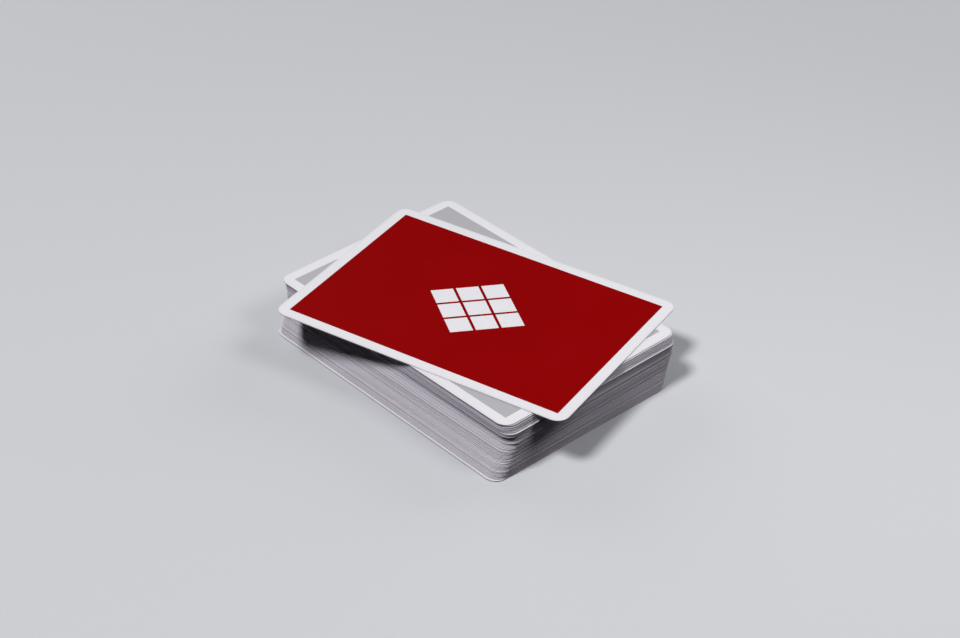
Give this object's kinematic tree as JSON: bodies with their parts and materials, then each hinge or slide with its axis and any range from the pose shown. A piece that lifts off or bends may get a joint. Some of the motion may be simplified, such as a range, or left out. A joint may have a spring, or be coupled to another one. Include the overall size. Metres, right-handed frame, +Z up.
{
  "type": "playing card deck",
  "caption": "Loose pack of round-cornered playing cards lying face down, leaning a little, with its top card turned; each card slides out of the pack and the top one swivels.",
  "frame": {"origin": "centre of the bottom card's face, on the surface that the deck lies on", "axes": "+X along the cards' long sides, +Y along their short sides, +Z up through the deck"},
  "size_m": [0.101, 0.0834, 0.0156],
  "materials": {
    "red_back": "satin coated card with a red printed back and white border",
    "grey_back": "satin coated card with a grey printed back and white border"
  },
  "bodies": {
    "card_01_king_of_hearts": {"card_01_king_of_hearts": "red_back"},
    "card_02_queen_of_hearts": {"card_02_queen_of_hearts": "grey_back"},
    "card_03_jack_of_hearts": {"card_03_jack_of_hearts": "grey_back"},
    "card_04_ten_of_hearts": {"card_04_ten_of_hearts": "grey_back"},
    "card_05_nine_of_hearts": {"card_05_nine_of_hearts": "grey_back"},
    "card_06_eight_of_hearts": {"card_06_eight_of_hearts": "grey_back"},
    "card_07_seven_of_hearts": {"card_07_seven_of_hearts": "grey_back"},
    "card_08_six_of_hearts": {"card_08_six_of_hearts": "grey_back"},
    "card_09_five_of_hearts": {"card_09_five_of_hearts": "grey_back"},
    "card_10_four_of_hearts": {"card_10_four_of_hearts": "grey_back"},
    "card_11_three_of_hearts": {"card_11_three_of_hearts": "grey_back"},
    "card_12_two_of_hearts": {"card_12_two_of_hearts": "grey_back"},
    "card_13_ace_of_hearts": {"card_13_ace_of_hearts": "grey_back"},
    "card_14_king_of_clubs": {"card_14_king_of_clubs": "grey_back"},
    "card_15_queen_of_clubs": {"card_15_queen_of_clubs": "grey_back"},
    "card_16_jack_of_clubs": {"card_16_jack_of_clubs": "grey_back"},
    "card_17_ten_of_clubs": {"card_17_ten_of_clubs": "grey_back"},
    "card_18_nine_of_clubs": {"card_18_nine_of_clubs": "grey_back"},
    "card_19_eight_of_clubs": {"card_19_eight_of_clubs": "grey_back"},
    "card_20_seven_of_clubs": {"card_20_seven_of_clubs": "grey_back"},
    "card_21_six_of_clubs": {"card_21_six_of_clubs": "grey_back"},
    "card_22_five_of_clubs": {"card_22_five_of_clubs": "grey_back"},
    "card_23_four_of_clubs": {"card_23_four_of_clubs": "grey_back"},
    "card_24_three_of_clubs": {"card_24_three_of_clubs": "grey_back"},
    "card_25_two_of_clubs": {"card_25_two_of_clubs": "grey_back"},
    "card_26_ace_of_clubs": {"card_26_ace_of_clubs": "grey_back"},
    "card_27_king_of_diamonds": {"card_27_king_of_diamonds": "grey_back"},
    "card_28_queen_of_diamonds": {"card_28_queen_of_diamonds": "grey_back"},
    "card_29_jack_of_diamonds": {"card_29_jack_of_diamonds": "grey_back"},
    "card_30_ten_of_diamonds": {"card_30_ten_of_diamonds": "grey_back"},
    "card_31_nine_of_diamonds": {"card_31_nine_of_diamonds": "grey_back"},
    "card_32_eight_of_diamonds": {"card_32_eight_of_diamonds": "grey_back"},
    "card_33_seven_of_diamonds": {"card_33_seven_of_diamonds": "grey_back"},
    "card_34_six_of_diamonds": {"card_34_six_of_diamonds": "grey_back"},
    "card_35_five_of_diamonds": {"card_35_five_of_diamonds": "grey_back"},
    "card_36_four_of_diamonds": {"card_36_four_of_diamonds": "grey_back"},
    "card_37_three_of_diamonds": {"card_37_three_of_diamonds": "grey_back"},
    "card_38_two_of_diamonds": {"card_38_two_of_diamonds": "grey_back"},
    "card_39_ace_of_diamonds": {"card_39_ace_of_diamonds": "grey_back"},
    "card_40_king_of_spades": {"card_40_king_of_spades": "grey_back"},
    "card_41_queen_of_spades": {"card_41_queen_of_spades": "grey_back"},
    "card_42_jack_of_spades": {"card_42_jack_of_spades": "grey_back"},
    "card_43_ten_of_spades": {"card_43_ten_of_spades": "grey_back"},
    "card_44_nine_of_spades": {"card_44_nine_of_spades": "grey_back"},
    "card_45_eight_of_spades": {"card_45_eight_of_spades": "grey_back"},
    "card_46_seven_of_spades": {"card_46_seven_of_spades": "grey_back"},
    "card_47_six_of_spades": {"card_47_six_of_spades": "grey_back"},
    "card_48_five_of_spades": {"card_48_five_of_spades": "grey_back"},
    "card_49_four_of_spades": {"card_49_four_of_spades": "grey_back"},
    "card_50_three_of_spades": {"card_50_three_of_spades": "grey_back"},
    "card_51_two_of_spades": {"card_51_two_of_spades": "grey_back"},
    "card_52_ace_of_spades": {"card_52_ace_of_spades": "grey_back"}
  },
  "joints": [
    {"name": "card_01_swivel", "type": "hinge", "parent": "card_02_queen_of_hearts", "child": "card_01_king_of_hearts", "pos_m": [0, 0.0029, 0.0153], "axis": [0, 0, 1], "continuous": true},
    {"name": "card_02_deal", "type": "slide", "parent": "card_52_ace_of_spades", "child": "card_02_queen_of_hearts", "axis": [0, 1, 0], "range_m": [-0.075, 0.075]},
    {"name": "card_03_deal", "type": "slide", "parent": "card_52_ace_of_spades", "child": "card_03_jack_of_hearts", "axis": [0, 1, 0], "range_m": [-0.075, 0.075]},
    {"name": "card_04_deal", "type": "slide", "parent": "card_52_ace_of_spades", "child": "card_04_ten_of_hearts", "axis": [0, 1, 0], "range_m": [-0.075, 0.075]},
    {"name": "card_05_deal", "type": "slide", "parent": "card_52_ace_of_spades", "child": "card_05_nine_of_hearts", "axis": [0, 1, 0], "range_m": [-0.075, 0.075]},
    {"name": "card_06_deal", "type": "slide", "parent": "card_52_ace_of_spades", "child": "card_06_eight_of_hearts", "axis": [0, 1, 0], "range_m": [-0.075, 0.075]},
    {"name": "card_07_deal", "type": "slide", "parent": "card_52_ace_of_spades", "child": "card_07_seven_of_hearts", "axis": [0, 1, 0], "range_m": [-0.075, 0.075]},
    {"name": "card_08_deal", "type": "slide", "parent": "card_52_ace_of_spades", "child": "card_08_six_of_hearts", "axis": [0, 1, 0], "range_m": [-0.075, 0.075]},
    {"name": "card_09_deal", "type": "slide", "parent": "card_52_ace_of_spades", "child": "card_09_five_of_hearts", "axis": [0, 1, 0], "range_m": [-0.075, 0.075]},
    {"name": "card_10_deal", "type": "slide", "parent": "card_52_ace_of_spades", "child": "card_10_four_of_hearts", "axis": [0, 1, 0], "range_m": [-0.075, 0.075]},
    {"name": "card_11_deal", "type": "slide", "parent": "card_52_ace_of_spades", "child": "card_11_three_of_hearts", "axis": [0, 1, 0], "range_m": [-0.075, 0.075]},
    {"name": "card_12_deal", "type": "slide", "parent": "card_52_ace_of_spades", "child": "card_12_two_of_hearts", "axis": [0, 1, 0], "range_m": [-0.075, 0.075]},
    {"name": "card_13_deal", "type": "slide", "parent": "card_52_ace_of_spades", "child": "card_13_ace_of_hearts", "axis": [0, 1, 0], "range_m": [-0.075, 0.075]},
    {"name": "card_14_deal", "type": "slide", "parent": "card_52_ace_of_spades", "child": "card_14_king_of_clubs", "axis": [0, 1, 0], "range_m": [-0.075, 0.075]},
    {"name": "card_15_deal", "type": "slide", "parent": "card_52_ace_of_spades", "child": "card_15_queen_of_clubs", "axis": [0, 1, 0], "range_m": [-0.075, 0.075]},
    {"name": "card_16_deal", "type": "slide", "parent": "card_52_ace_of_spades", "child": "card_16_jack_of_clubs", "axis": [0, 1, 0], "range_m": [-0.075, 0.075]},
    {"name": "card_17_deal", "type": "slide", "parent": "card_52_ace_of_spades", "child": "card_17_ten_of_clubs", "axis": [0, 1, 0], "range_m": [-0.075, 0.075]},
    {"name": "card_18_deal", "type": "slide", "parent": "card_52_ace_of_spades", "child": "card_18_nine_of_clubs", "axis": [0, 1, 0], "range_m": [-0.075, 0.075]},
    {"name": "card_19_deal", "type": "slide", "parent": "card_52_ace_of_spades", "child": "card_19_eight_of_clubs", "axis": [0, 1, 0], "range_m": [-0.075, 0.075]},
    {"name": "card_20_deal", "type": "slide", "parent": "card_52_ace_of_spades", "child": "card_20_seven_of_clubs", "axis": [0, 1, 0], "range_m": [-0.075, 0.075]},
    {"name": "card_21_deal", "type": "slide", "parent": "card_52_ace_of_spades", "child": "card_21_six_of_clubs", "axis": [0, 1, 0], "range_m": [-0.075, 0.075]},
    {"name": "card_22_deal", "type": "slide", "parent": "card_52_ace_of_spades", "child": "card_22_five_of_clubs", "axis": [0, 1, 0], "range_m": [-0.075, 0.075]},
    {"name": "card_23_deal", "type": "slide", "parent": "card_52_ace_of_spades", "child": "card_23_four_of_clubs", "axis": [0, 1, 0], "range_m": [-0.075, 0.075]},
    {"name": "card_24_deal", "type": "slide", "parent": "card_52_ace_of_spades", "child": "card_24_three_of_clubs", "axis": [0, 1, 0], "range_m": [-0.075, 0.075]},
    {"name": "card_25_deal", "type": "slide", "parent": "card_52_ace_of_spades", "child": "card_25_two_of_clubs", "axis": [0, 1, 0], "range_m": [-0.075, 0.075]},
    {"name": "card_26_deal", "type": "slide", "parent": "card_52_ace_of_spades", "child": "card_26_ace_of_clubs", "axis": [0, 1, 0], "range_m": [-0.075, 0.075]},
    {"name": "card_27_deal", "type": "slide", "parent": "card_52_ace_of_spades", "child": "card_27_king_of_diamonds", "axis": [0, 1, 0], "range_m": [-0.075, 0.075]},
    {"name": "card_28_deal", "type": "slide", "parent": "card_52_ace_of_spades", "child": "card_28_queen_of_diamonds", "axis": [0, 1, 0], "range_m": [-0.075, 0.075]},
    {"name": "card_29_deal", "type": "slide", "parent": "card_52_ace_of_spades", "child": "card_29_jack_of_diamonds", "axis": [0, 1, 0], "range_m": [-0.075, 0.075]},
    {"name": "card_30_deal", "type": "slide", "parent": "card_52_ace_of_spades", "child": "card_30_ten_of_diamonds", "axis": [0, 1, 0], "range_m": [-0.075, 0.075]},
    {"name": "card_31_deal", "type": "slide", "parent": "card_52_ace_of_spades", "child": "card_31_nine_of_diamonds", "axis": [0, 1, 0], "range_m": [-0.075, 0.075]},
    {"name": "card_32_deal", "type": "slide", "parent": "card_52_ace_of_spades", "child": "card_32_eight_of_diamonds", "axis": [0, 1, 0], "range_m": [-0.075, 0.075]},
    {"name": "card_33_deal", "type": "slide", "parent": "card_52_ace_of_spades", "child": "card_33_seven_of_diamonds", "axis": [0, 1, 0], "range_m": [-0.075, 0.075]},
    {"name": "card_34_deal", "type": "slide", "parent": "card_52_ace_of_spades", "child": "card_34_six_of_diamonds", "axis": [0, 1, 0], "range_m": [-0.075, 0.075]},
    {"name": "card_35_deal", "type": "slide", "parent": "card_52_ace_of_spades", "child": "card_35_five_of_diamonds", "axis": [0, 1, 0], "range_m": [-0.075, 0.075]},
    {"name": "card_36_deal", "type": "slide", "parent": "card_52_ace_of_spades", "child": "card_36_four_of_diamonds", "axis": [0, 1, 0], "range_m": [-0.075, 0.075]},
    {"name": "card_37_deal", "type": "slide", "parent": "card_52_ace_of_spades", "child": "card_37_three_of_diamonds", "axis": [0, 1, 0], "range_m": [-0.075, 0.075]},
    {"name": "card_38_deal", "type": "slide", "parent": "card_52_ace_of_spades", "child": "card_38_two_of_diamonds", "axis": [0, 1, 0], "range_m": [-0.075, 0.075]},
    {"name": "card_39_deal", "type": "slide", "parent": "card_52_ace_of_spades", "child": "card_39_ace_of_diamonds", "axis": [0, 1, 0], "range_m": [-0.075, 0.075]},
    {"name": "card_40_deal", "type": "slide", "parent": "card_52_ace_of_spades", "child": "card_40_king_of_spades", "axis": [0, 1, 0], "range_m": [-0.075, 0.075]},
    {"name": "card_41_deal", "type": "slide", "parent": "card_52_ace_of_spades", "child": "card_41_queen_of_spades", "axis": [0, 1, 0], "range_m": [-0.075, 0.075]},
    {"name": "card_42_deal", "type": "slide", "parent": "card_52_ace_of_spades", "child": "card_42_jack_of_spades", "axis": [0, 1, 0], "range_m": [-0.075, 0.075]},
    {"name": "card_43_deal", "type": "slide", "parent": "card_52_ace_of_spades", "child": "card_43_ten_of_spades", "axis": [0, 1, 0], "range_m": [-0.075, 0.075]},
    {"name": "card_44_deal", "type": "slide", "parent": "card_52_ace_of_spades", "child": "card_44_nine_of_spades", "axis": [0, 1, 0], "range_m": [-0.075, 0.075]},
    {"name": "card_45_deal", "type": "slide", "parent": "card_52_ace_of_spades", "child": "card_45_eight_of_spades", "axis": [0, 1, 0], "range_m": [-0.075, 0.075]},
    {"name": "card_46_deal", "type": "slide", "parent": "card_52_ace_of_spades", "child": "card_46_seven_of_spades", "axis": [0, 1, 0], "range_m": [-0.075, 0.075]},
    {"name": "card_47_deal", "type": "slide", "parent": "card_52_ace_of_spades", "child": "card_47_six_of_spades", "axis": [0, 1, 0], "range_m": [-0.075, 0.075]},
    {"name": "card_48_deal", "type": "slide", "parent": "card_52_ace_of_spades", "child": "card_48_five_of_spades", "axis": [0, 1, 0], "range_m": [-0.075, 0.075]},
    {"name": "card_49_deal", "type": "slide", "parent": "card_52_ace_of_spades", "child": "card_49_four_of_spades", "axis": [0, 1, 0], "range_m": [-0.075, 0.075]},
    {"name": "card_50_deal", "type": "slide", "parent": "card_52_ace_of_spades", "child": "card_50_three_of_spades", "axis": [0, 1, 0], "range_m": [-0.075, 0.075]},
    {"name": "card_51_deal", "type": "slide", "parent": "card_52_ace_of_spades", "child": "card_51_two_of_spades", "axis": [0, 1, 0], "range_m": [-0.075, 0.075]}
  ]
}
